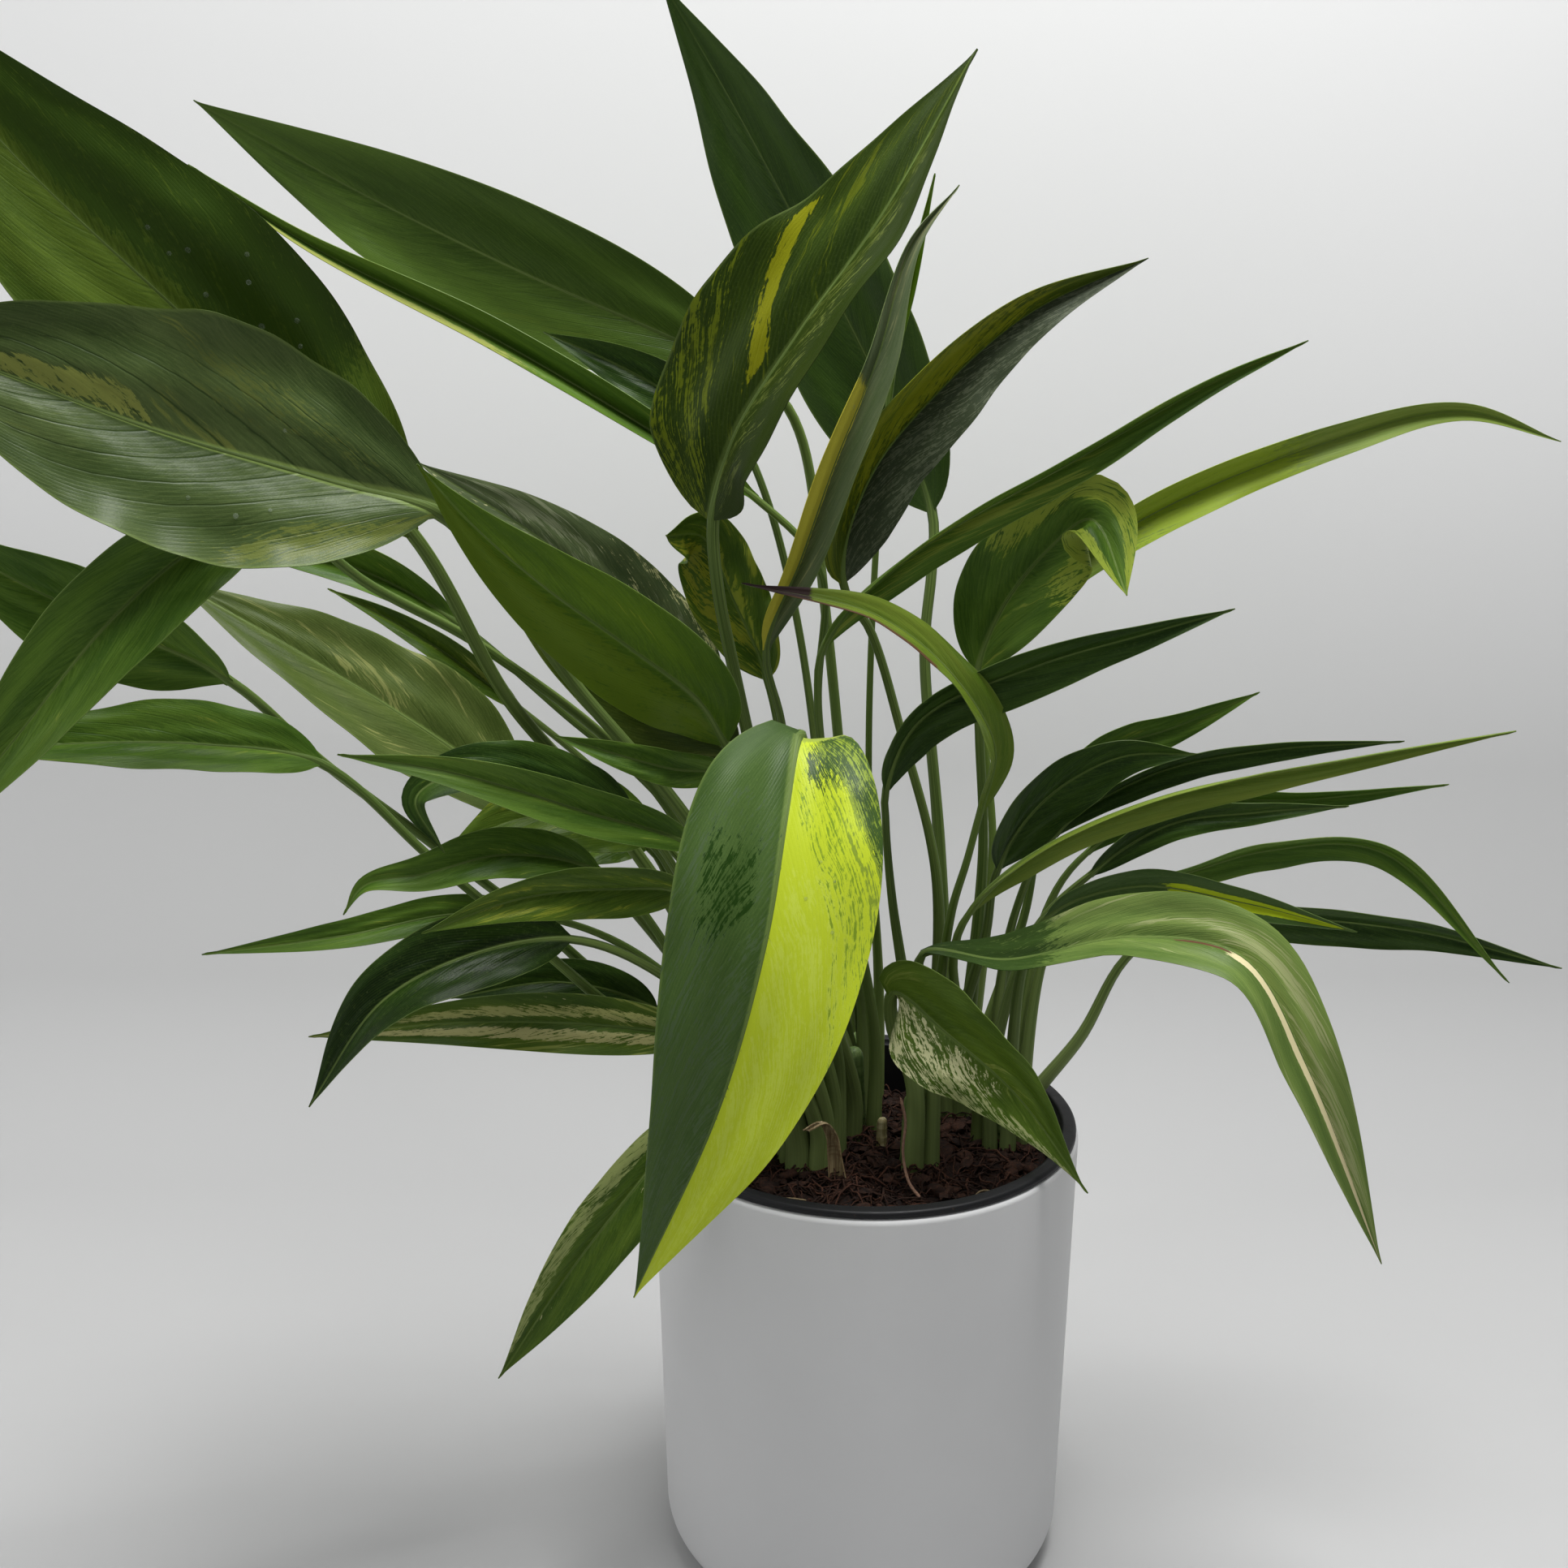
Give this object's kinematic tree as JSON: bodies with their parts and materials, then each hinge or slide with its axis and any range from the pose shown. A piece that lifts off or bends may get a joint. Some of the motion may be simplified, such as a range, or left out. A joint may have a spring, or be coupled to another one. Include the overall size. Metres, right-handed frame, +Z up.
{
  "type": "potted pothos plant",
  "caption": "Potted variegated pothos: a full clump of arching pointed leaves in dark, lime and cream greens, rooted in a black nursery pot that hangs inside a plain white cover pot.",
  "frame": {"origin": "centre of the cover pot's flat underside", "axes": "+Z up along the pot's axis, -Y towards the plant's front, +X to the right seen from the front"},
  "size_m": [0.4513, 0.2405, 0.5032],
  "materials": {
    "matte_white": "smooth matte white glaze-like coat",
    "black_plastic": "slightly glossy black moulded plastic",
    "peat_and_coir": "coarse dark-brown peat and coir fibre",
    "stem_green": "pale green living stem",
    "cut_stub": "dry cream-coloured cut end",
    "leaf_green": "mid-green waxy leaf with pale veins",
    "leaf_dark": "dark green satin leaf",
    "leaf_bright": "bright yellow-green leaf",
    "leaf_lime": "half dark green, half lime leaf",
    "leaf_streaked": "green leaf with fine yellow-green streaks",
    "leaf_cream": "green leaf with cream and white streaks"
  },
  "bodies": {
    "root": {"white_cover_pot": "matte_white", "nursery_pot": "black_plastic", "potting_mix": "peat_and_coir", "stem_front_left": "stem_green", "stem_centre": "stem_green", "stem_front_right": "stem_green", "stem_left": "stem_green", "stem_back": "stem_green", "stem_back_right": "stem_green", "stem_right": "stem_green", "cut_petiole_stub": "cut_stub", "leaf_front_half_lime": "leaf_lime", "leaf_upper_left_large": "leaf_dark", "leaf_left_large_streaked": "leaf_streaked", "leaf_bright_green": "leaf_bright", "leaf_far_left": "leaf_green", "leaf_left_level": "leaf_green", "leaf_left_crossing": "leaf_green", "leaf_left_low_drooping": "leaf_cream", "leaf_front_speckled": "leaf_cream", "leaf_right_drooping_striped": "leaf_cream", "leaf_tall_streaked": "leaf_streaked", "leaf_back_tall_dark": "leaf_dark", "leaf_back_left_long": "leaf_dark", "leaf_back_left_folded": "leaf_green", "leaf_back_left_dark": "leaf_dark", "leaf_upright_half_yellow": "leaf_lime", "leaf_new_rolled": "leaf_bright", "leaf_right_upper_narrow": "leaf_streaked", "leaf_right_long_narrow": "leaf_green", "leaf_brown_tipped": "leaf_bright", "leaf_curled_over": "leaf_green", "leaf_far_right_lime": "leaf_bright", "leaf_right_dark": "leaf_dark", "leaf_right_ribbed": "leaf_dark", "leaf_right_back_small": "leaf_green", "leaf_right_slim_grey": "leaf_dark", "leaf_right_slim_lime": "leaf_bright", "leaf_right_slim_green": "leaf_green", "leaf_right_small_grey": "leaf_dark", "leaf_right_arched": "leaf_green", "leaf_right_lime_striped": "leaf_lime", "leaf_right_low_long": "leaf_dark", "leaf_left_white_streaked": "leaf_cream", "leaf_left_soft_streaked": "leaf_streaked", "leaf_left_cream_streaked": "leaf_cream", "leaf_left_thin_level": "leaf_green", "leaf_left_small_tip": "leaf_green", "leaf_left_hooked_dark": "leaf_dark", "leaf_left_broad_grey": "leaf_streaked", "leaf_left_brownish": "leaf_streaked", "leaf_left_hooked_green": "leaf_green", "leaf_left_long_tip": "leaf_green", "leaf_left_pointing": "leaf_streaked", "leaf_left_dark_drooping": "leaf_dark", "leaf_left_cream_striped": "leaf_cream", "leaf_left_shaded": "leaf_dark", "leaf_left_channelled": "leaf_green", "leaf_left_cream_edged": "leaf_cream", "leaf_centre_curled": "leaf_streaked"}
  },
  "joints": []
}
